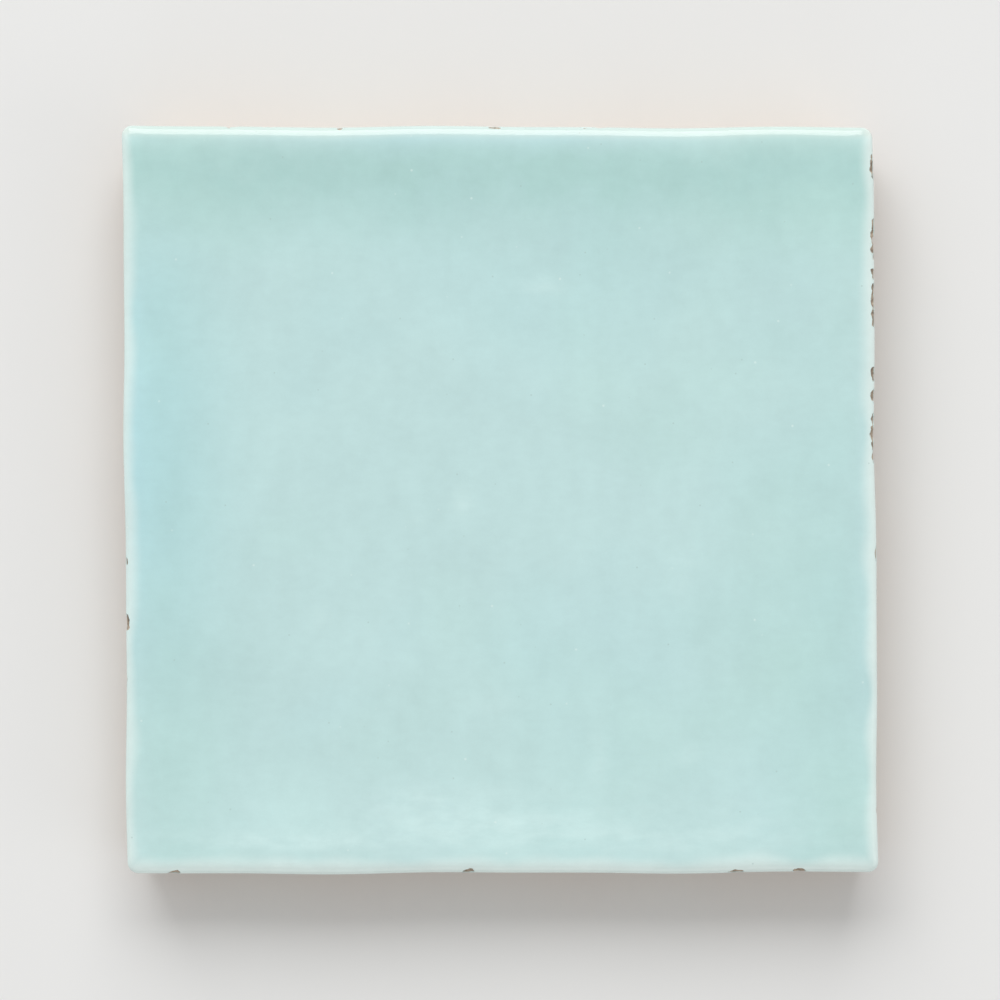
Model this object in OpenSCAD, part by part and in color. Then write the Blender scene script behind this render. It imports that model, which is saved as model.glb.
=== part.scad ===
// Zellige tile: one square of fired clay with a dished, glazed face.
// Millimetres. The tile lies on its back with the glaze up: +X is its right edge, +Y its top
// edge, and +Z comes out of the face. The origin is at the middle of the back.

/* [Tile] */
// Width of the glazed face
tile_w = 100; // [60:1:200]
// Length of the glazed face, from its bottom edge to its top edge
tile_l = 99.4; // [60:0.2:200]
// Thickness, from the back to the crest of the rim
tile_t = 11; // [8:0.5:20]

/* [Outline] */
// Plan radius of the four corners
corner_r = 1.4; // [0.6:0.1:3]
// How far the top edge lies to the left of the bottom edge
top_shift = 0.7; // [0:0.1:2]
// How much shorter the right edge is than the left edge
right_short = 0.4; // [0:0.1:2]
// How far each edge wanders in and out of straight
edge_wander = 0.15; // [0:0.05:0.5]
// Length of edge over which it wanders in and out once
edge_wander_len = 46; // [20:1:100]

/* [Sides and back] */
// How far the back lies inside the rim on every side
undercut = 1.2; // [0.4:0.1:3]
// How deep the hollows are that hand cutting left in the sides
cut_hollow = 0.25; // [0:0.05:0.8]
// Distance between two such hollows
cut_hollow_len = 24; // [8:1:50]
// Radius of the worn edge round the back
back_r = 0.8; // [0.3:0.1:2]

/* [Glazed face] */
// Width of the rolled rim, from its outer edge in to its crest
rim_w = 1.8; // [0.8:0.1:2.5]
// Height of the rolled rim, from its widest line up to its crest
rim_h = 1.1; // [0.6:0.1:2.5]
// How far the middle of the face lies below the crest of the rim
dish_depth = 0.6; // [0.1:0.05:1]
// Distance from the crest in to the steepest part of the slope behind it
slope_w = 4; // [3:0.5:8]
// Height of the waves in the face, trough to peak
wave_h = 0.5; // [0:0.05:1]
// Length of the main wave in the face
wave_len = 34; // [20:1:80]

/* [Chips] */
// Length of a full-sized chip along the rim
chip_len = 2.6; // [1:0.1:5]
// Depth of a full-sized chip into the rim
chip_deep = 0.55; // [0.2:0.05:1]

/* [Hidden] */

// Waves that cross the face: direction in degrees, share of wave_len, and phase in degrees
WAVE_ANGLES_SHARES = [[20, 1, 40], [75, 0.7, 160], [130, 1.3, 250], [160, 0.6, 310]];

// Chips of the bottom, right, top and left edge in turn. Each is a place along its edge, from
// -1 to 1 counterclockwise, and its shares of chip_len and chip_deep.
CHIP_SHARES = [
    [[0.79, 0.9, 0.8]],
    [[0.12, 0.7, 0.7], [0.18, 1, 1], [0.23, 0.6, 0.6],
        [0.61, 0.7, 0.8], [0.67, 0.9, 0.9], [0.75, 0.6, 0.7]],
    [[-0.24, 0.6, 0.5], [0.01, 0.8, 0.6], [0.42, 0.7, 0.6]],
    [[0.33, 1, 0.9]],
];
CHIP_FN = 32;

// Where the wander of the bottom, right, top and left edge starts, in degrees
WANDER_PHASES = [290, 200, 120, 30];
SIDES = len(WANDER_PHASES);

// Cells of the field's lattice along a side, rim stations to each cell and to each corner
CELLS = 24;
CELL_STATIONS = 2;
CORNER_STATIONS = 4;
SIDE_STEPS = CELLS * CELL_STATIONS;
SIDE_STATIONS = SIDE_STEPS + CORNER_STATIONS;
STATIONS = SIDES * SIDE_STATIONS;

// Corners of the rings get rounder towards the field: mm of radius for each mm inwards
CORNER_RATIO = 0.5;
// Gap between the last ring and the lattice of the field
LATTICE_GAP = 3;
// Where the skin's rings lie: angles round the two rounded edges, shares up the side and
// shares down the slope
BACK_ANGLES = [0, 45, 90];
SIDE_SHARES = [0.35, 0.7];
RIM_ANGLES = [90, 68, 45, 22, 0];
SLOPE_SHARES = [0.3, 0.8, 1.5];
RINGS = len(BACK_ANGLES) + len(SIDE_SHARES) + len(RIM_ANGLES) + len(SLOPE_SHARES);

// A point turned about the origin by a number of quarter turns
function turned(p, quarters) =
    let (a = 90 * quarters)
    [p.x * cos(a) - p.y * sin(a), p.x * sin(a) + p.y * cos(a)];

// Half the tile's size along a side, and from the middle out to that side
function half_along(side) = (side % 2 == 0 ? tile_w : tile_l) / 2;
function half_out(side) = (side % 2 == 0 ? tile_l : tile_w) / 2;

// Station of a ring that lies inset inside the plain rectangle, counterclockwise from the
// left end of the bottom edge
function ring_xy(station, inset) =
    let (
        side = floor(station / SIDE_STATIONS) % SIDES,
        step = station % SIDE_STATIONS,
        r = corner_r + CORNER_RATIO * inset,
        along = half_along(side) - inset - r,
        out = half_out(side) - inset,
        turn = 90 * max(0, step - SIDE_STEPS) / CORNER_STATIONS
    )
    turned(
        step < SIDE_STEPS
            ? [along * (2 * step / SIDE_STEPS - 1), -out]
            : [along + r * sin(turn), r * (1 - cos(turn)) - out],
        side
    );

// How far a side's edge stands out of straight at a place along it
function wander(place, side) =
    let (
        turn = 360 * place / edge_wander_len,
        phase = WANDER_PHASES[side]
    )
    edge_wander * (sin(turn + phase) + 0.5 * sin(2 * turn - phase)) / 1.5;

// The plain rectangle as it was cut: leaning, shorter on the right, its edges wandering
function cut_xy(p) =
    let (
        u = 2 * p.x / tile_w,
        v = 2 * p.y / tile_l
    )
    [
        p.x - v * top_shift / 2 + u * abs(u) * wander(p.y, u > 0 ? 1 : 3),
        p.y * (1 - u * right_short / 2 / tile_l) + v * abs(v) * wander(p.x, v > 0 ? 2 : 0)
    ];

// Height of the slope behind the rim, at a distance in from an edge: 1 at the crest, falling
// steepest at slope_w and then dying away towards the middle of the face
function slope_rise(inset) =
    let (t = max(0, inset - rim_w) / slope_w)
    (1 + t) * exp(-t);
function dish_rise(p) =
    1 - (1 - slope_rise(tile_w / 2 - abs(p.x))) * (1 - slope_rise(tile_l / 2 - abs(p.y)));

// Mean of the waves that cross the face, from -1 to 1, and its most along the rim's crest
function wave(p) =
    [for (w = WAVE_ANGLES_SHARES)
        sin(360 * (p.x * cos(w[0]) + p.y * sin(w[0])) / (wave_len * w[1]) + w[2])]
    * [for (w = WAVE_ANGLES_SHARES) 1 / len(WAVE_ANGLES_SHARES)];
CREST_WAVE = max([for (i = [0 : STATIONS - 1]) wave(ring_xy(i, rim_w))]);

// Height of the glazed face over the back: the crest is tile_t high where it stands highest
function face_z(p) =
    tile_t - dish_depth * (1 - dish_rise(p)) - wave_h * (CREST_WAVE - wave(p)) / 2;

// Hollows of the hand cutting: how far they lie inside the straight side at a share of its
// height, the lower ones set between the upper ones
function hollow(p, share) =
    cut_hollow * 4 * share * (1 - share)
    * (1 + sin(360 * (p.x - p.y) / cut_hollow_len + 180 * share)) / 2;

// Inset and height of each ring of the skin at one station, from the back up over the rim
function skin_profile(station) =
    let (
        crest = face_z(ring_xy(station, rim_w)),
        side_h = crest - rim_h - back_r
    )
    concat(
        [for (a = BACK_ANGLES) [undercut + back_r * (1 - sin(a)), back_r * (1 - cos(a))]],
        [for (s = SIDE_SHARES)
            [undercut * (1 - s) + hollow(ring_xy(station, 0), s), back_r + side_h * s]],
        [for (a = RIM_ANGLES) [rim_w * (1 - sin(a)), crest - rim_h * (1 - cos(a))]],
        [for (s = SLOPE_SHARES)
            let (inset = rim_w + slope_w * s)
            [inset, face_z(ring_xy(station, inset))]]
    );

// The rim's widest line, and the middle of the box round it
RIM_LINE = [for (i = [0 : STATIONS - 1]) cut_xy(ring_xy(i, 0))];
function middle(values) = (min(values) + max(values)) / 2;
MIDDLE = [middle([for (p = RIM_LINE) p.x]), middle([for (p = RIM_LINE) p.y])];

// A point of the tile from its place in the plain rectangle and its height
function tile_point(p, z) =
    let (q = cut_xy(p) - MIDDLE)
    [q.x, q.y, z];

// Points: the middle of the back, then the rings one after another, then the lattice
SKIN = [for (i = [0 : STATIONS - 1]) skin_profile(i)];
RING_POINTS = [
    for (ring = [0 : RINGS - 1])
        for (i = [0 : STATIONS - 1])
            tile_point(ring_xy(i, SKIN[i][ring][0]), SKIN[i][ring][1])
];
FIELD_INSET = rim_w + slope_w * max(SLOPE_SHARES) + LATTICE_GAP;
FIELD_POINTS = [
    for (column = [0 : CELLS])
        for (row = [0 : CELLS])
            let (p = [
                (tile_w / 2 - FIELD_INSET) * (2 * column / CELLS - 1),
                (tile_l / 2 - FIELD_INSET) * (2 * row / CELLS - 1)
            ])
            tile_point(p, face_z(p))
];
POINTS = concat([[0, 0, 0]], RING_POINTS, FIELD_POINTS);

function on_ring(ring, station) = 1 + ring * STATIONS + station % STATIONS;
function on_field(column, row) = 1 + RINGS * STATIONS + column * (CELLS + 1) + row;

// Point of the lattice's border on a side, counterclockwise like the rings
function on_border(side, cell) =
    side == 0 ? on_field(cell, 0)
    : side == 1 ? on_field(CELLS, cell)
    : side == 2 ? on_field(CELLS - cell, CELLS)
    : on_field(0, CELLS - cell);

BACK_FACES = [for (i = [0 : STATIONS - 1]) [0, on_ring(0, i), on_ring(0, i + 1)]];
SKIN_FACES = [
    for (ring = [0 : RINGS - 2])
        for (i = [0 : STATIONS - 1])
            each [
                [on_ring(ring, i), on_ring(ring + 1, i), on_ring(ring + 1, i + 1)],
                [on_ring(ring, i), on_ring(ring + 1, i + 1), on_ring(ring, i + 1)]
            ]
];
// Strip that joins the last ring, with its closer stations, to the lattice's border
STRIP_FACES = [
    for (side = [0 : SIDES - 1])
        each concat(
            [for (cell = [0 : CELLS - 1])
                let (
                    first = side * SIDE_STATIONS + cell * CELL_STATIONS,
                    half = floor(CELL_STATIONS / 2),
                    here = on_border(side, cell),
                    next = on_border(side, cell + 1)
                )
                each concat(
                    [[on_ring(RINGS - 1, first + half), here, next]],
                    [for (step = [0 : CELL_STATIONS - 1])
                        let (i = first + step)
                        [on_ring(RINGS - 1, i), step < half ? here : next, on_ring(RINGS - 1, i + 1)]]
                )],
            [for (step = [0 : CORNER_STATIONS - 1])
                let (i = side * SIDE_STATIONS + SIDE_STEPS + step)
                [on_ring(RINGS - 1, i), on_border(side, CELLS), on_ring(RINGS - 1, i + 1)]]
        )
];
FIELD_FACES = [
    for (column = [0 : CELLS - 1])
        for (row = [0 : CELLS - 1])
            each [
                [on_field(column, row), on_field(column, row + 1), on_field(column + 1, row + 1)],
                [on_field(column, row), on_field(column + 1, row + 1), on_field(column + 1, row)]
            ]
];

// The whole tile before its rim was chipped
module blank() {
    polyhedron(
        points = POINTS,
        faces = concat(BACK_FACES, SKIN_FACES, STRIP_FACES, FIELD_FACES),
        convexity = 4
    );
}

// A shell-shaped chip out of the rim, as a ball that reaches into it from outside
module chip(side, place, length, deep) {
    ball_r = (length * length / 4 + deep * deep) / (2 * deep);
    edge = cut_xy(turned([place * half_along(side), -half_out(side)], side)) - MIDDLE;
    centre = edge + turned([0, -1], side) * (ball_r - deep);
    crest = face_z(turned([place * half_along(side), rim_w - half_out(side)], side));
    translate([centre.x, centre.y, crest - rim_h / 2])
        sphere(r = ball_r, $fn = CHIP_FN);
}

module zellige_tile() {
    color("#bfdedd")
        difference() {
            blank();
            for (side = [0 : SIDES - 1])
                for (c = CHIP_SHARES[side])
                    chip(side, c[0], c[1] * chip_len, c[2] * chip_deep);
        }
}

zellige_tile();
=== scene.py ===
import math
import random

import bpy
import numpy as np
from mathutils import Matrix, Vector, noise


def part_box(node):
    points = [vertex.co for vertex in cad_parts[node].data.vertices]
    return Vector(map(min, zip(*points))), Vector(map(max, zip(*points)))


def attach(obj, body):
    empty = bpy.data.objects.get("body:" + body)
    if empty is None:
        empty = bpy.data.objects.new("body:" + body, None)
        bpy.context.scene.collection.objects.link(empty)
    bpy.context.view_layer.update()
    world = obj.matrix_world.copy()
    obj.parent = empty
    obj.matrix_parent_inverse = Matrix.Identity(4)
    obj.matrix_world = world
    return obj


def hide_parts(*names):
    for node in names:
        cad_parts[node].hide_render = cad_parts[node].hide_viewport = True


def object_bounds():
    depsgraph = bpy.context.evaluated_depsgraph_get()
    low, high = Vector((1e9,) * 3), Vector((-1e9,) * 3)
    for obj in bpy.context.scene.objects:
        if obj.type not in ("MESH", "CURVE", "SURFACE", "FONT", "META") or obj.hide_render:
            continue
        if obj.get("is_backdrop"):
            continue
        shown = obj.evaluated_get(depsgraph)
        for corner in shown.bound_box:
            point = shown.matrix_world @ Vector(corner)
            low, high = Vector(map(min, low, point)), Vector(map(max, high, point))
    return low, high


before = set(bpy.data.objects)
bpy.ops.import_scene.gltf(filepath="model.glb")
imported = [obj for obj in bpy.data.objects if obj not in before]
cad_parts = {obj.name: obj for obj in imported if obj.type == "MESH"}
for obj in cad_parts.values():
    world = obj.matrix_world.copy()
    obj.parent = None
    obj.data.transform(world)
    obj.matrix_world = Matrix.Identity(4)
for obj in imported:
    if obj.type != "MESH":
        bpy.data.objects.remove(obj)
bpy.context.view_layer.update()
bpy.ops.object.select_all(action="DESELECT")

# The tile. A slab of buff clay was pressed, cut a little out of square with a knife, dipped
# in aqua glaze on its face and fired, so it is one piece. It is shaped in millimetres, first
# as a plain square and then as it was cut, and comes to metres once it is whole.
MM = 0.001
TILE_W, TILE_L = 100.0, 99.4
TILE_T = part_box("zellige_tile")[1].z / MM
BOTTOM, RIGHT, TOP, LEFT = 0, 1, 2, 3

# A sheet of cells for the face and one for the back, with a wall of rings bridged between
# them. The height of a ring stands for how far round the skin it lies.
FACE_CELLS = 160
BACK_STEPS, SIDE_STEPS, RIM_STEPS = 4, 22, 10
SKIN_STEPS = BACK_STEPS + SIDE_STEPS + RIM_STEPS

bpy.ops.mesh.primitive_grid_add(
    x_subdivisions=FACE_CELLS, y_subdivisions=FACE_CELLS, size=2, location=(0, 0, 0)
)
tile = bpy.context.object
tile.name = "glazed_tile"
tile.data.name = "glazed_tile"
bpy.ops.object.mode_set(mode="EDIT")
bpy.ops.mesh.select_all(action="SELECT")
bpy.ops.mesh.duplicate_move(TRANSFORM_OT_translate={"value": (0, 0, SKIN_STEPS)})
bpy.ops.mesh.select_all(action="DESELECT")
bpy.ops.mesh.select_mode(type="EDGE")
bpy.ops.mesh.select_non_manifold()
bpy.ops.mesh.bridge_edge_loops(number_cuts=SKIN_STEPS - 1, interpolation="LINEAR")
bpy.ops.mesh.select_all(action="SELECT")
bpy.ops.mesh.normals_make_consistent(inside=False)
bpy.ops.mesh.select_mode(type="VERT")
bpy.ops.object.mode_set(mode="OBJECT")


def read_points(mesh):
    flat = np.empty(3 * len(mesh.vertices))
    mesh.vertices.foreach_get("co", flat)
    return flat.reshape(-1, 3)


def write_points(mesh, points):
    mesh.vertices.foreach_set("co", points.astype(np.float32).ravel())
    mesh.update()


def smooth_step(x, low, high):
    t = np.clip((x - low) / (high - low), 0, 1)
    return t * t * (3 - 2 * t)


def lumps(x, y, z, size, seed):
    """Smooth noise, about -0.5 to 0.5, with lumps of this size in millimetres."""
    shift = Vector((seed, 7.3 * seed, -3.1 * seed))
    points = np.column_stack(np.broadcast_arrays(x, y, z)) / size
    return np.array([noise.noise(Vector(p) + shift) for p in points])


# The pressed face: a shallow dish behind the rim, and the waves that the hands left.
RIM_W, RIM_H = 1.8, 1.1
DISH_DEPTH, SLOPE_W = 0.6, 4.0
WAVE_H, WAVE_LEN = 0.5, 34.0
WAVES = [(20, 1, 40), (75, 0.7, 160), (130, 1.3, 250), (160, 0.6, 310)]


def wave(x, y):
    total = 0
    for degrees, share, phase in WAVES:
        a = math.radians(degrees)
        along = x * math.cos(a) + y * math.sin(a)
        total = total + np.sin(2 * math.pi * along / (WAVE_LEN * share) + math.radians(phase))
    return total / len(WAVES)


def slope_rise(inset):
    t = np.maximum(0, inset - RIM_W) / SLOPE_W
    return (1 + t) * np.exp(-t)


crest_t = np.linspace(-1, 1, 400)
crest_w, crest_l = TILE_W / 2 - RIM_W, TILE_L / 2 - RIM_W
CREST_WAVE = max(
    max(wave(crest_w * crest_t, crest_l * end).max(), wave(crest_w * end, crest_l * crest_t).max())
    for end in (-1, 1)
)


def face_height(x, y):
    dish = (1 - slope_rise(TILE_W / 2 - abs(x))) * (1 - slope_rise(TILE_L / 2 - abs(y)))
    return TILE_T - DISH_DEPTH * dish - WAVE_H * (CREST_WAVE - wave(x, y)) / 2


# The skin's section, from the flat back up the undercut side and over the rolled rim.
UNDERCUT, BACK_R = 1.2, 0.8
CORNER_R, CORNER_RATIO = 1.4, 0.5
EASED_INSET, SQUARE_INSET = 3.0, 10.0
CROWDING = 0.7

grid = read_points(tile.data)
u, v, ring = grid[:, 0], grid[:, 1], np.rint(grid[:, 2]).astype(int)
steps = np.arange(SKIN_STEPS + 1)
back_turn = np.clip(steps / BACK_STEPS, 0, 1) * math.pi / 2
up_side = np.clip((steps - BACK_STEPS) / SIDE_STEPS, 0, 1)
rim_turn = np.clip((SKIN_STEPS - steps) / RIM_STEPS, 0, 1) * math.pi / 2
on_rim = steps > BACK_STEPS + SIDE_STEPS
skin_inset = np.where(
    on_rim,
    RIM_W * (1 - np.sin(rim_turn)),
    UNDERCUT * (1 - up_side) + BACK_R * (1 - np.sin(back_turn)),
)


def crowd(t):
    """Closer cells towards the edges, where the rim bends."""
    k = CROWDING * math.pi / 2
    return np.sin(k * t) / math.sin(k)


def round_corners(x, y):
    """Rounds the corners of the square rings, and lets that fade out on the face."""
    inset = np.minimum(TILE_W / 2 - abs(x), TILE_L / 2 - abs(y))
    eased_r = CORNER_R + CORNER_RATIO * EASED_INSET
    r = np.interp(inset, [0, EASED_INSET, SQUARE_INSET], [CORNER_R, eased_r, 1e-6])
    over_x = abs(x) - (TILE_W / 2 - inset - r)
    over_y = abs(y) - (TILE_L / 2 - inset - r)
    turn = np.where(over_x > over_y, over_y / r, 2 - over_x / r) * math.pi / 4
    corner = (over_x > 0) & (over_y > 0)
    return (
        np.where(corner, np.sign(x) * (abs(x) - over_x + r * np.cos(turn)), x),
        np.where(corner, np.sign(y) * (abs(y) - over_y + r * np.sin(turn)), y),
    )


def on_ring(inset):
    return round_corners(crowd(u) * (TILE_W / 2 - inset), crowd(v) * (TILE_L / 2 - inset))


x, y = on_ring(skin_inset[ring])
crest = face_height(*on_ring(RIM_W))
z = np.where(
    on_rim[ring],
    crest - RIM_H * (1 - np.cos(rim_turn[ring])),
    BACK_R * (1 - np.cos(back_turn[ring])) + (crest - RIM_H - BACK_R) * up_side[ring],
)
on_face = ring == SKIN_STEPS
on_back = (ring == 0) & (abs(u) < 0.999) & (abs(v) < 0.999)
on_skin = ~on_face & ~on_back

# The glaze ran over the rim and down the sides, and ends there in an uneven, slightly beaded
# line. Below it the clay is bare, with the shallow scoops of the blade that trimmed it.
CUT_HOLLOW, CUT_HOLLOW_LEN = 0.25, 24.0
GLAZE_DROP, GLAZE_DROP_SWING = 1.6, 2.0
GLAZE_THICK, GLAZE_BEAD = 0.12, 0.09
GLAZE_RUNS = [  # side, place along it, how far it runs below the rest, half its width
    (BOTTOM, -31, 1.6, 3.6), (BOTTOM, 22, 2.6, 3.0), (RIGHT, -24, 1.3, 3.0),
    (RIGHT, 21, 1.9, 3.8), (TOP, -18, 1.5, 3.4), (TOP, 29, 2.2, 2.8), (LEFT, -9, 1.7, 3.5),
]
SCOOP_LEN, SCOOP_DEEP = 4.2, 0.16
GOUGE_DEEP = 0.1


def glaze_line(x, y):
    """Height above the back at which the glaze ends on the sides."""
    scallops = abs(lumps(x, y, 0, 6, 5.2)) + 0.3 * abs(lumps(x, y, 0, 2.4, 9.5))
    drop = GLAZE_DROP + GLAZE_DROP_SWING * (lumps(x, y, 0, 13, 1.7) + 1.2 * scallops - 0.25)
    to_side = np.array([TILE_L / 2 + y, TILE_W / 2 - x, TILE_L / 2 - y, TILE_W / 2 + x])
    nearest = np.argmin(to_side, axis=0)
    for side, place, length, half_w in GLAZE_RUNS:
        along = x if side in (BOTTOM, TOP) else y
        share = smooth_step(1 - abs(along - place) / half_w, 0, 0.75)
        drop = drop + np.where(nearest == side, length * share, 0)
    return TILE_T - RIM_H - np.maximum(drop, 0.4)


def scoops(x, y, z, size, seed):
    """Hollows side by side, of this size in millimetres: 0 at their ridges, 1 at their middles."""
    points = np.column_stack([x + seed, y - seed, z]) / size
    nearest = np.array([noise.voronoi(Vector(p))[0][0] for p in points])
    return np.clip(1 - 1.6 * nearest**2, 0, 1)


sx, sy, sz = x[on_skin], y[on_skin], z[on_skin]
above_line = sz - glaze_line(sx, sy)
bare = 1 - smooth_step(above_line, -0.25, 0.1)
bare[sz < 1e-6] = 0
bead = np.exp(-(((above_line - 0.45) / 0.35) ** 2))
gouges = lumps(sx, sy, 2.2 * sz + 0.5 * (sx - sy), 1.5, 11.0) + 0.6 * lumps(sx, sy, sz, 0.9, 3.4)
side_fade = (4 * up_side * (1 - up_side))[ring[on_skin]] ** 0.5
along_cut = 2 * math.pi * (sx - sy) / CUT_HOLLOW_LEN + math.pi * up_side[ring[on_skin]]
carved = np.zeros(len(x))
carved[on_skin] = CUT_HOLLOW * side_fade**2 * (1 + np.sin(along_cut)) / 2
carved[on_skin] += bare * (
    GLAZE_THICK
    + SCOOP_DEEP * side_fade * scoops(sx, sy, 0.8 * sz, SCOOP_LEN, 3.7)
    + GOUGE_DEEP * side_fade * np.clip(0.4 + 1.6 * gouges, 0, 1.3)
)
carved[on_skin] -= GLAZE_BEAD * bead * side_fade
core_w, core_l = TILE_W / 2 - 2 * CORNER_R, TILE_L / 2 - 2 * CORNER_R
out_x = np.sign(x) * np.clip(abs(x) - core_w, 0, None)
out_y = np.sign(y) * np.clip(abs(y) - core_l, 0, None)
reach = np.hypot(out_x, out_y) + 1e-9
x -= np.where(on_skin, carved * out_x / reach, 0)
y -= np.where(on_skin, carved * out_y / reach, 0)

# Fine ripples where the glaze settled on the face, and across the back the drags of the wire
# that cut the slab from its block.
RIPPLE_H = 0.04
WIRE_ANGLE, WIRE_GAP, WIRE_DEEP = math.radians(12), 3.4, 0.2

fx, fy = x[on_face], y[on_face]
ripple = lumps(fx, fy, 0, 8, 2.2) + 0.4 * lumps(fx, fy, 0, 3.2, 8.4)
from_crest = np.minimum(TILE_W / 2 - abs(fx), TILE_L / 2 - abs(fy)) - RIM_W
z[on_face] = face_height(fx, fy) + RIPPLE_H * ripple * smooth_step(from_crest, 0, 2)

bx, by = x[on_back], y[on_back]
wire_along = bx * math.cos(WIRE_ANGLE) + by * math.sin(WIRE_ANGLE)
wire_across = by * math.cos(WIRE_ANGLE) - bx * math.sin(WIRE_ANGLE) + 0.002 * bx**2
drag = lumps(wire_along / 14, wire_across, 0, WIRE_GAP / 2, 4.1)
patch = lumps(bx, by, 0, 14, 6.6)
back_inset = np.minimum(TILE_W / 2 - abs(bx), TILE_L / 2 - abs(by)) - UNDERCUT - BACK_R
z[on_back] += WIRE_DEEP * np.clip(0.4 + 0.8 * drag + 0.7 * patch, 0, 1) * smooth_step(back_inset, 0, 3)

# The knife cut it leaning a little to the left, shorter on the right, with edges that wander.
TOP_SHIFT, RIGHT_SHORT = 0.7, 0.4
EDGE_WANDER, EDGE_WANDER_LEN = 0.15, 46.0
WANDER_PHASES = np.radians([290, 200, 120, 30])


def wander(place, side):
    turn = 2 * math.pi * place / EDGE_WANDER_LEN
    phase = WANDER_PHASES[side]
    return EDGE_WANDER * (np.sin(turn + phase) + 0.5 * np.sin(2 * turn - phase)) / 1.5


def cut(x, y):
    across, up = 2 * x / TILE_W, 2 * y / TILE_L
    edge_x = np.where(across > 0, wander(y, RIGHT), wander(y, LEFT))
    edge_y = np.where(up > 0, wander(x, TOP), wander(x, BOTTOM))
    return (
        x - up * TOP_SHIFT / 2 + across * abs(across) * edge_x,
        y * (1 - across * RIGHT_SHORT / 2 / TILE_L) + up * abs(up) * edge_y,
    )


cut_x, cut_y = cut(x, y)
middle_x, middle_y = (cut_x.max() + cut_x.min()) / 2, (cut_y.max() + cut_y.min()) / 2
write_points(tile.data, np.column_stack([cut_x - middle_x, cut_y - middle_y, z]))

# Chips. Where the fired rim was knocked, shell-shaped flakes came off, most of them along
# the upper part of the right edge. Each is bitten out by a lumpy ball.
CHIP_LEN, CHIP_DEEP = 2.6, 0.55
CHIPS = [  # side, place along it from -1 to 1 counterclockwise, shares of length and depth
    (BOTTOM, 0.79, 0.9, 0.8),
    (RIGHT, 0.12, 0.7, 0.7), (RIGHT, 0.18, 1, 1), (RIGHT, 0.23, 0.6, 0.6),
    (RIGHT, 0.61, 0.7, 0.8), (RIGHT, 0.67, 0.9, 0.9), (RIGHT, 0.75, 0.6, 0.7),
    (TOP, -0.24, 0.6, 0.5), (TOP, 0.01, 0.8, 0.6), (TOP, 0.42, 0.7, 0.6),
    (LEFT, 0.33, 1, 0.9),
]
NICKS = [  # side, first and last place, number of small ones
    (RIGHT, 0.11, 0.38, 13), (RIGHT, 0.48, 0.8, 16), (RIGHT, 0.82, 0.95, 3), (RIGHT, -0.9, 0.05, 2),
    (TOP, -0.9, 0.9, 4), (LEFT, -0.7, 0.6, 3), (BOTTOM, -0.9, 0.9, 3),
]
CHIP_LUMPS, CHIP_GRAIN = 0.34, 0.12
OUTWARD = [(0, -1), (1, 0), (0, 1), (-1, 0)]


def add_bite(side, place, deep, down, radius, subdivisions):
    """Adds a ball that bites this deep into the side's line, this far below the rim's crest.
    Its radius is given along the side, outwards and up."""
    out_x, out_y = OUTWARD[side]
    edge_x = TILE_W / 2 * (out_x - place * out_y)
    edge_y = TILE_L / 2 * (out_y + place * out_x)
    crest_z = face_height(edge_x - RIM_W * out_x, edge_y - RIM_W * out_y)
    edge_x, edge_y = cut(edge_x, edge_y)
    along_r, out_r, up_r = radius
    bpy.ops.mesh.primitive_ico_sphere_add(
        subdivisions=subdivisions,
        radius=1,
        location=(
            edge_x - middle_x + out_x * (out_r - deep),
            edge_y - middle_y + out_y * (out_r - deep),
            crest_z - down,
        ),
        scale=(out_r if out_x else along_r, out_r if out_y else along_r, up_r),
    )
    return bpy.context.object


hits = random.Random(41)
balls = []
for side, place, length_share, deep_share in CHIPS:
    length, deep = CHIP_LEN * length_share, CHIP_DEEP * deep_share
    ball_r = (length**2 / 4 + deep**2) / (2 * deep)
    balls.append(add_bite(side, place, deep, RIM_H / 2, (ball_r, ball_r, ball_r), 4))
for side, first, last, count in NICKS:
    for _ in range(count):
        place, deep = hits.uniform(first, last), hits.uniform(0.16, 0.42)
        down = RIM_H * hits.uniform(0.45, 1.2)
        rolled_in = RIM_W * (1 - math.sin(math.acos(max(0, 1 - down / RIM_H))))
        out_r = (deep + 0.1) * hits.uniform(1.6, 2.8)
        radius = (hits.uniform(0.6, 1.8), out_r, hits.uniform(0.55, 1.15))
        balls.append(add_bite(side, place, deep + rolled_in, down, radius, 3))

bpy.ops.object.select_all(action="DESELECT")
for ball in balls:
    ball.select_set(True)
bpy.context.view_layer.objects.active = balls[0]
bpy.ops.object.join()
chip_balls = bpy.context.object
bpy.ops.object.transform_apply(location=True, rotation=True, scale=True)
round_balls = read_points(chip_balls.data)
knobs = np.array([noise.noise_vector(Vector(p) * 1.3) for p in round_balls])
grit = np.array([noise.noise_vector(Vector(p) * 3.4) for p in round_balls])
write_points(chip_balls.data, round_balls + CHIP_LUMPS * knobs + CHIP_GRAIN * grit)

aqua_glaze = bpy.data.materials.new("aqua_glaze")
broken_clay = bpy.data.materials.new("broken_clay")
tile.data.materials.append(aqua_glaze)
chip_balls.data.materials.append(broken_clay)

bite = tile.modifiers.new("chips", "BOOLEAN")
bite.operation = "DIFFERENCE"
bite.solver = "EXACT"
bite.use_self = True
bite.material_mode = "TRANSFER"
bite.show_viewport = False
bite.object = chip_balls
bpy.ops.object.select_all(action="DESELECT")
tile.select_set(True)
bpy.context.view_layer.objects.active = tile
bpy.ops.object.modifier_apply(modifier=bite.name)
bpy.data.objects.remove(chip_balls)

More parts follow.
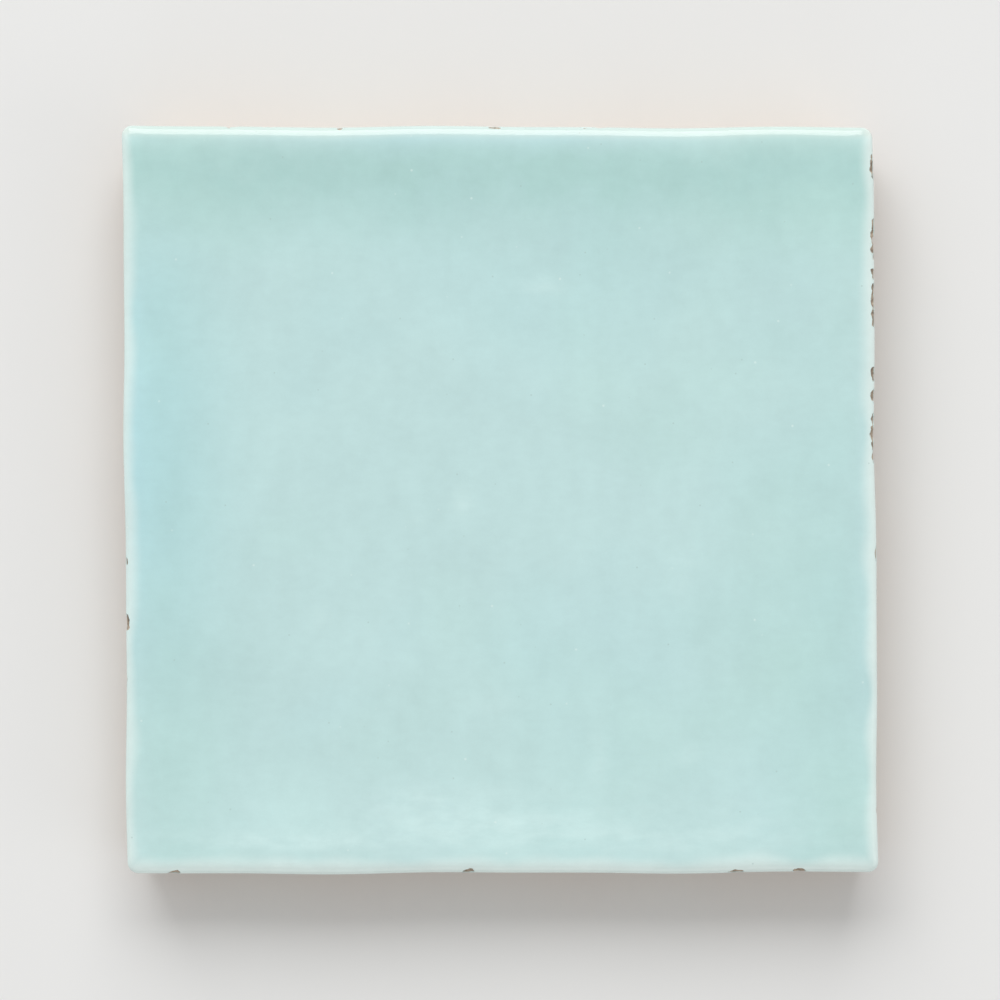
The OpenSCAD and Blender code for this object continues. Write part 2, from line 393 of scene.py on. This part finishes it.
# What the colours follow, for each point of the finished shape: how far above the glaze's end it lies, how
# thin the glaze was drawn with painted light added on the rims, how deep it pooled with painted shade added
# behind the top rim, where painted glints lie, and how deep a break goes.
# The rims are pale where the glaze was drawn thin, and their widths and shares per side also hold painted
# light: widest and full on the bottom rim, which faces away from the lamps, and faint on the top rim, which
# faces them.
PALE_WIDTHS = [2.7, 2.0, 2.3, 2.1]
PALE_SHARES = [1.0, 1.0, 0.15, 0.8]
# The pool's shares per side are partly pooled glaze and partly painted shade: full behind the top rim, where
# the dish slopes away from the lamps, and none behind the bottom rim.
POOL_AND_SHADE_SHARES = [0.0, 0.25, 1.0, 0.3]
COOL_CLOUDS = [  # middle, half widths across and up, strength
    (-47, 6, 9, 30, 1.0), (-6, 45, 20, 6, 0.35),
]
GREEN_CLOUDS = [
    (-41, 43, 9, 6, 0.6), (41, 42, 16, 8, 0.9), (38, -12, 11, 16, 0.35), (46, -42, 8, 9, 0.5),
    (-44, -34, 9, 14, 0.35), (16, -31, 12, 7, 0.15),
]
# Painted glints and reflections: pale streaks and spots on the face, most along the bottom band, standing in
# for light reflected off the glaze.
PAINTED_GLINTS = [
    (-28, -45.3, 12, 1.2, 0.8), (-4, -43.5, 15, 2.8, 0.7), (-9, -39.6, 8, 1.5, 0.45),
    (24, -45, 14, 2.0, 0.45), (12.8, -34, 1.1, 4, 0.4), (-1.2, -27, 5, 1.1, 0.3),
    (0, -44, 60, 8, 0.3), (5.8, 28.6, 2.8, 1.0, 0.55), (-5.1, -0.2, 1.2, 1.6, 0.8), (-11.5, -3, 1.5, 0.9, 0.3),
    (24.3, -9.8, 2.2, 4.5, 0.35), (25, -34, 1.3, 1.3, 0.6), (-24, -16, 1.5, 2, 0.3),
]
points = read_points(tile.data)
px, py, pz = points[:, 0] + middle_x, points[:, 1] + middle_y, points[:, 2]
cut_x, cut_y = cut(px, py)
px, py = 2 * px - cut_x, 2 * py - cut_y
to_sides = np.array([TILE_L / 2 + py, TILE_W / 2 - px, TILE_L / 2 - py, TILE_W / 2 + px])
inset = to_sides.min(axis=0)
rim_line = TILE_T - RIM_H
over_rim = smooth_step(pz, rim_line - 0.5, rim_line)

pale_w = np.array(PALE_WIDTHS)[:, None] * (1 + 0.5 * lumps(px, py, 0, 6, 3.8))
thin_and_painted_light = 1 - smooth_step(to_sides / pale_w, 0, 1)
thin_and_painted_light = (np.array(PALE_SHARES)[:, None] * thin_and_painted_light).max(axis=0)
thin_down = 1 - 0.75 * smooth_step(rim_line - pz, -0.2, 1.1)
behind = np.clip(to_sides - RIM_W, 0, None) / SLOPE_W
pool_and_painted_shade = (np.array(POOL_AND_SHADE_SHARES)[:, None] * behind * np.exp(1 - behind)).max(axis=0)


def clouds(spots):
    total = np.zeros(len(px))
    for across, up, half_w, half_l, strength in spots:
        away = ((px - across) / half_w) ** 2 + ((py - up) / half_l) ** 2
        total += strength * np.exp(-away)
    return total * over_rim


cover = pz - glaze_line(px, py) + 5 * over_rim
crest_z = face_height(np.clip(px, -crest_w, crest_w), np.clip(py, -crest_l, crest_l))
rim_x = np.clip(RIM_W - inset, 0, None) / RIM_W
rim_z = np.clip(pz - (crest_z - RIM_H), 0, None) / RIM_H
break_deep = (1 - np.hypot(rim_x, rim_z)) * RIM_H
for name, values in (
    ("thin_and_painted_light", over_rim * thin_and_painted_light + (1 - over_rim) * thin_down),
    ("pool_and_painted_shade", over_rim * pool_and_painted_shade),
    ("cool", clouds(COOL_CLOUDS)),
    ("green", clouds(GREEN_CLOUDS)),
    ("painted_glint", clouds(PAINTED_GLINTS)),
    ("cover", cover),
    ("scuffed", np.exp(-pz / 0.7) * (0.2 + 0.8 * np.exp(-np.clip(inset - 2, 0, None) / 1.5))),
    ("dragged", np.clip(pz / WIRE_DEEP, 0, 1) * (pz < 0.5) * (inset > UNDERCUT + BACK_R)),
    # painted shade on the top rim alone, greying the rim where the lamp lights it
    ("top_rim_painted_shade", 1 - smooth_step(to_sides[TOP], 0.6, 1.8)),
    ("break_deep", break_deep),
):
    layer = tile.data.attributes.new(name, "FLOAT", "POINT")
    layer.data.foreach_set("value", values.astype(np.float32))


def add_node(material, kind, inputs=None, **settings):
    """Adds a shader node. Each input is a number, a colour, or a socket that is linked to it."""
    node = material.node_tree.nodes.new("ShaderNode" + kind)
    for name, value in settings.items():
        setattr(node, name, value)
    for name, value in (inputs or {}).items():
        if isinstance(value, bpy.types.NodeSocket):
            material.node_tree.links.new(value, node.inputs[name])
        else:
            node.inputs[name].default_value = value
    return node


def attribute(material, name):
    return add_node(material, "Attribute", attribute_name=name).outputs["Fac"]


def grain(material, size, detail=2, stretch=(1, 1, 1), turn=0, rough=0.5):
    """Noise, about 0.2 to 0.8, with lumps of this size in millimetres."""
    place = add_node(material, "TexCoord").outputs["Object"]
    mapped = add_node(
        material, "Mapping", {"Vector": place, "Rotation": (0, 0, turn), "Scale": stretch}
    )
    return add_node(
        material, "TexNoise",
        {
            "Vector": mapped.outputs["Vector"],
            "Scale": 1 / (size * MM),
            "Detail": detail,
            "Roughness": rough,
        },
    ).outputs["Fac"]


def spread(material, value, low, high, to_low=0, to_high=1):
    return add_node(
        material, "MapRange",
        {"Value": value, "From Min": low, "From Max": high, "To Min": to_low, "To Max": to_high},
    ).outputs["Result"]


def times(material, a, b):
    return add_node(material, "Math", {0: a, 1: b}, operation="MULTIPLY").outputs[0]


def plus(material, a, b):
    return add_node(material, "Math", {0: a, 1: b}, operation="ADD").outputs[0]


def blend(material, share, under, over):
    return add_node(
        material, "Mix", {0: share, 6: under, 7: over}, data_type="RGBA"
    ).outputs[2]


# Aqua glaze: a glassy coat, a little cloudy, deeper and greener where it pooled behind the rim, with painted
# shade added behind the top rim, and pale where it was drawn thin over the edge, with painted light added on
# the bottom rim. Painted glints lie on the face as pale wisps, and the top rim carries painted shade. Under
# its end lies the bare clay.
FIELD = (0.518, 0.722, 0.714, 1)
COOLER = (0.455, 0.712, 0.740, 1)
GREENER = (0.490, 0.728, 0.680, 1)
POOLED_AND_SHADED = (0.425, 0.655, 0.625, 1)
PAINTED_GLINT_COLOUR = (0.605, 0.812, 0.797, 1)
THIN_GLAZE_AND_PAINTED_LIGHT = (0.800, 0.915, 0.880, 1)
SPECK = (0.36, 0.50, 0.47, 1)
CLAY = (0.62, 0.51, 0.39, 1)
CLAY_WARM = (0.58, 0.43, 0.31, 1)
CLAY_DARK = (0.40, 0.30, 0.215, 1)
CLAY_TOAST = (0.56, 0.37, 0.245, 1)
CLAY_DRAGGED = (0.50, 0.38, 0.275, 1)
GROG_PALE = (0.76, 0.69, 0.58, 1)
GROG_DARK = (0.24, 0.17, 0.12, 1)
GLAZE_HAZE = (0.66, 0.68, 0.60, 1)


def specks(material, gap, size):
    """Dots of up to this radius in millimetres, about this far apart: 1 at their middles."""
    place = add_node(material, "TexCoord").outputs["Object"]
    cells = add_node(material, "TexVoronoi", {"Vector": place, "Scale": 1 / (gap * MM)})
    return spread(material, cells.outputs["Distance"], 0.4 * size / gap, size / gap, 1, 0)


m = aqua_glaze
m.use_nodes = True
m.node_tree.nodes.clear()
cool = plus(m, attribute(m, "cool"), spread(m, grain(m, 34, 2), 0.5, 0.75, 0, 0.3))
green = plus(m, attribute(m, "green"), spread(m, grain(m, 26, 2, turn=0.7), 0.5, 0.75, 0, 0.3))
patchy = spread(m, grain(m, 7, 3, rough=0.6), 0.3, 0.7, 0.7, 1.25)
colour = blend(m, cool, FIELD, COOLER)
colour = blend(m, green, colour, GREENER)
# Pooled glaze behind the rims, with painted shade in the band behind the top rim.
colour = blend(m, times(m, attribute(m, "pool_and_painted_shade"), patchy), colour, POOLED_AND_SHADED)
feathered = spread(m, grain(m, 1.8, 4, stretch=(0.4, 1, 1), rough=0.6), 0.35, 0.65, 0.3, 1)
# Painted glints: pale wisps that stand for reflections on the glaze.
colour = blend(m, times(m, attribute(m, "painted_glint"), feathered), colour, PAINTED_GLINT_COLOUR)
# Pale rims: thin glaze, with painted light on the bottom rim, which faces away from the lamps.
colour = blend(m, times(m, attribute(m, "thin_and_painted_light"), 0.9), colour, THIN_GLAZE_AND_PAINTED_LIGHT)
shade = spread(m, grain(m, 13, 3), 0.25, 0.75, 0.98, 1.02)
shade = times(m, shade, spread(m, grain(m, 3.2, 3, stretch=(1, 0.5, 1)), 0.25, 0.75, 0.976, 1.024))
shade = times(m, shade, spread(m, grain(m, 1.1, 3, stretch=(0.6, 1, 1)), 0.25, 0.75, 0.982, 1.018))
shade = times(m, shade, spread(m, grain(m, 0.35, 2), 0.2, 0.8, 0.99, 1.01))
colour = add_node(m, "VectorMath", {0: colour, 1: shade}, operation="MULTIPLY").outputs[0]
colour = blend(m, times(m, specks(m, 3.4, 0.16), 0.45), colour, SPECK)
colour = blend(m, times(m, specks(m, 4.3, 0.22), 0.4), colour, THIN_GLAZE_AND_PAINTED_LIGHT)

clay_colour = blend(m, spread(m, grain(m, 5, 3), 0.35, 0.7), CLAY, CLAY_WARM)
clay_colour = blend(m, spread(m, grain(m, 0.45, 4, rough=0.75), 0.5, 0.75), clay_colour, CLAY_DARK)
clay_colour = blend(m, times(m, specks(m, 1.1, 0.22), 0.7), clay_colour, GROG_PALE)
clay_colour = blend(m, times(m, specks(m, 1.5, 0.2), 0.75), clay_colour, GROG_DARK)
clay_colour = blend(m, times(m, attribute(m, "dragged"), 0.55), clay_colour, CLAY_DRAGGED)
rubbed = spread(m, grain(m, 0.9, 4, stretch=(0.5, 0.5, 1), rough=0.7), 0.4, 0.65, 0.1, 0.9)
clay_colour = blend(m, times(m, attribute(m, "scuffed"), rubbed), clay_colour, GROG_PALE)
ragged = plus(m, attribute(m, "cover"), spread(m, grain(m, 1.1, 3), 0.25, 0.75, -0.16, 0.16))
glazed = spread(m, ragged, -0.03, 0.03)
toast = spread(m, plus(m, ragged, spread(m, grain(m, 2.5, 3), 0.2, 0.8, -1, 1)), -2.6, -0.4, 0, 0.55)
clay_colour = blend(m, toast, clay_colour, CLAY_TOAST)
haze = spread(m, ragged, -0.7, -0.03, 0, 0.5)
clay_colour = blend(m, haze, clay_colour, GLAZE_HAZE)
# The top rim is greyed towards the haze colour as painted shade, dimming its green and blue where the lamp
# lights it.
thin_end = plus(m, spread(m, ragged, 0.03, 0.5, 0.7, 0), times(m, attribute(m, "top_rim_painted_shade"), 0.4))
colour = blend(m, thin_end, colour, GLAZE_HAZE)
surface = blend(m, glazed, clay_colour, colour)

clay_rough = plus(m, grain(m, 0.5, 5, rough=0.75), times(m, specks(m, 1.5, 0.2), -0.6))
clay_bump = add_node(
    m, "Bump", {"Strength": 0.8, "Distance": 0.16 * MM, "Height": clay_rough}
).outputs["Normal"]
glaze_bump = add_node(
    m, "Bump", {"Strength": 0.35, "Distance": 0.02 * MM, "Height": grain(m, 1.6, 2)}
).outputs["Normal"]
shader = add_node(
    m, "BsdfPrincipled",
    {
        "Base Color": surface,
        "Roughness": spread(m, glazed, 0, 1, 0.88, 0.09),
        "Normal": add_node(
            m, "Mix", {0: glazed, 4: clay_bump, 5: glaze_bump}, data_type="VECTOR"
        ).outputs[1],
    },
)
add_node(m, "OutputMaterial", {"Surface": shader.outputs[0]})

# Broken clay: the fresh faces of the chips, matt and grainy, with dark brown patches that are partly grime and
# partly painted shade, darkening the breaks as a shadowed joint would, and with the thin glassy edge of the
# glaze where the break starts.
m = broken_clay
m.use_nodes = True
m.node_tree.nodes.clear()
FRESH_CLAY = (0.60, 0.49, 0.38, 1)
GRIME_AND_PAINTED_SHADE = (0.24, 0.195, 0.15, 1)
GLAZE_SECTION = (0.62, 0.76, 0.74, 1)

# Fresh clay with dark patches of grime and painted shade.
fresh_clay_and_shade = blend(m, spread(m, grain(m, 0.6, 4, rough=0.7), 0.35, 0.62), FRESH_CLAY, GRIME_AND_PAINTED_SHADE)
edge_deep = plus(m, attribute(m, "break_deep"), spread(m, grain(m, 0.5, 2), 0.2, 0.8, -0.03, 0.03))
glassy = spread(m, edge_deep, 0.05, 0.09, 1, 0)
shader = add_node(
    m, "BsdfPrincipled",
    {
        "Base Color": blend(m, glassy, fresh_clay_and_shade, GLAZE_SECTION),
        "Roughness": spread(m, glassy, 0, 1, 0.9, 0.3),
        "Normal": add_node(
            m, "Bump", {"Strength": 0.7, "Distance": 0.1 * MM, "Height": grain(m, 0.3, 4)}
        ).outputs["Normal"],
    },
)
add_node(m, "OutputMaterial", {"Surface": shader.outputs[0]})

write_points(tile.data, points * MM)
bpy.ops.object.shade_smooth_by_angle(angle=math.radians(32))
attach(tile, "root")
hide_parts("zellige_tile")

# The floor: a plain pale matt board that the tile lies on.
bpy.ops.mesh.primitive_plane_add(size=6, location=(0, 0, -0.0001))
floor = bpy.context.object
floor.name = "pale_floor"
pale_board = bpy.data.materials.new("pale_board")
pale_board.use_nodes = True
board = pale_board.node_tree.nodes["Principled BSDF"]
board.inputs["Base Color"].default_value = (0.80, 0.80, 0.79, 1)
board.inputs["Roughness"].default_value = 0.9
floor.data.materials.append(pale_board)
floor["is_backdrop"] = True

# Studio light: one broad soft box beyond the tile's top edge, and an even room round it.
middle = sum(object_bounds(), Vector()) / 2


def add_soft_box(name, degrees_down, degrees_round, distance, size, watts):
    down, round_ = math.radians(degrees_down), math.radians(degrees_round)
    away = Vector((
        math.sin(down) * math.sin(round_), math.sin(down) * math.cos(round_), math.cos(down)
    ))
    lamp = bpy.data.lights.new(name, "AREA")
    lamp.shape = "RECTANGLE"
    lamp.size, lamp.size_y = size
    lamp.energy = watts
    box = bpy.data.objects.new(name, lamp)
    box.location = middle + away * distance
    box.rotation_euler = (-away).to_track_quat("-Z", "Y").to_euler()
    bpy.context.collection.objects.link(box)
    return box


add_soft_box("window_box", 52, -6, 2.6, (2.4, 2.0), 54)
add_soft_box("left_box", 55, -48, 2.7, (1.8, 1.1), 5)
add_soft_box("right_box", 66, 114, 2.7, (1.9, 1.3), 7)
add_soft_box("low_box", 68, 182, 2.7, (1.9, 1.2), 6)

room = bpy.data.worlds.new("room")
room.use_nodes = True
bpy.context.scene.world = room
tree = room.node_tree
tree.nodes.clear()
ray = tree.nodes.new("ShaderNodeLightPath")
seen = tree.nodes.new("ShaderNodeMath")
seen.operation = "MAXIMUM"
tree.links.new(ray.outputs["Is Camera Ray"], seen.inputs[0])
tree.links.new(ray.outputs["Is Glossy Ray"], seen.inputs[1])
seen_too = tree.nodes.new("ShaderNodeMath")
seen_too.operation = "MAXIMUM"
tree.links.new(seen.outputs[0], seen_too.inputs[0])
tree.links.new(ray.outputs["Is Transmission Ray"], seen_too.inputs[1])
even = tree.nodes.new("ShaderNodeBackground")
even.inputs["Color"].default_value = (1, 1, 1, 1)
even.inputs["Strength"].default_value = 0.5
backdrop = tree.nodes.new("ShaderNodeBackground")
backdrop.inputs["Color"].default_value = (1, 1, 1, 1)
backdrop.inputs["Strength"].default_value = 0.8
either = tree.nodes.new("ShaderNodeMixShader")
tree.links.new(seen_too.outputs[0], either.inputs["Fac"])
tree.links.new(even.outputs[0], either.inputs[1])
tree.links.new(backdrop.outputs[0], either.inputs[2])
world_out = tree.nodes.new("ShaderNodeOutputWorld")
tree.links.new(either.outputs[0], world_out.inputs["Surface"])

# The camera looks straight down on the tile, with the tile's top edge up in the picture.
bpy.ops.object.camera_add(location=(middle.x, middle.y, 1.49), rotation=(0, 0, 0))
camera = bpy.context.object
camera.data.lens = 400
camera.data.sensor_width = 36
bpy.context.scene.camera = camera

view = bpy.context.scene.view_settings
view.view_transform = "Standard"
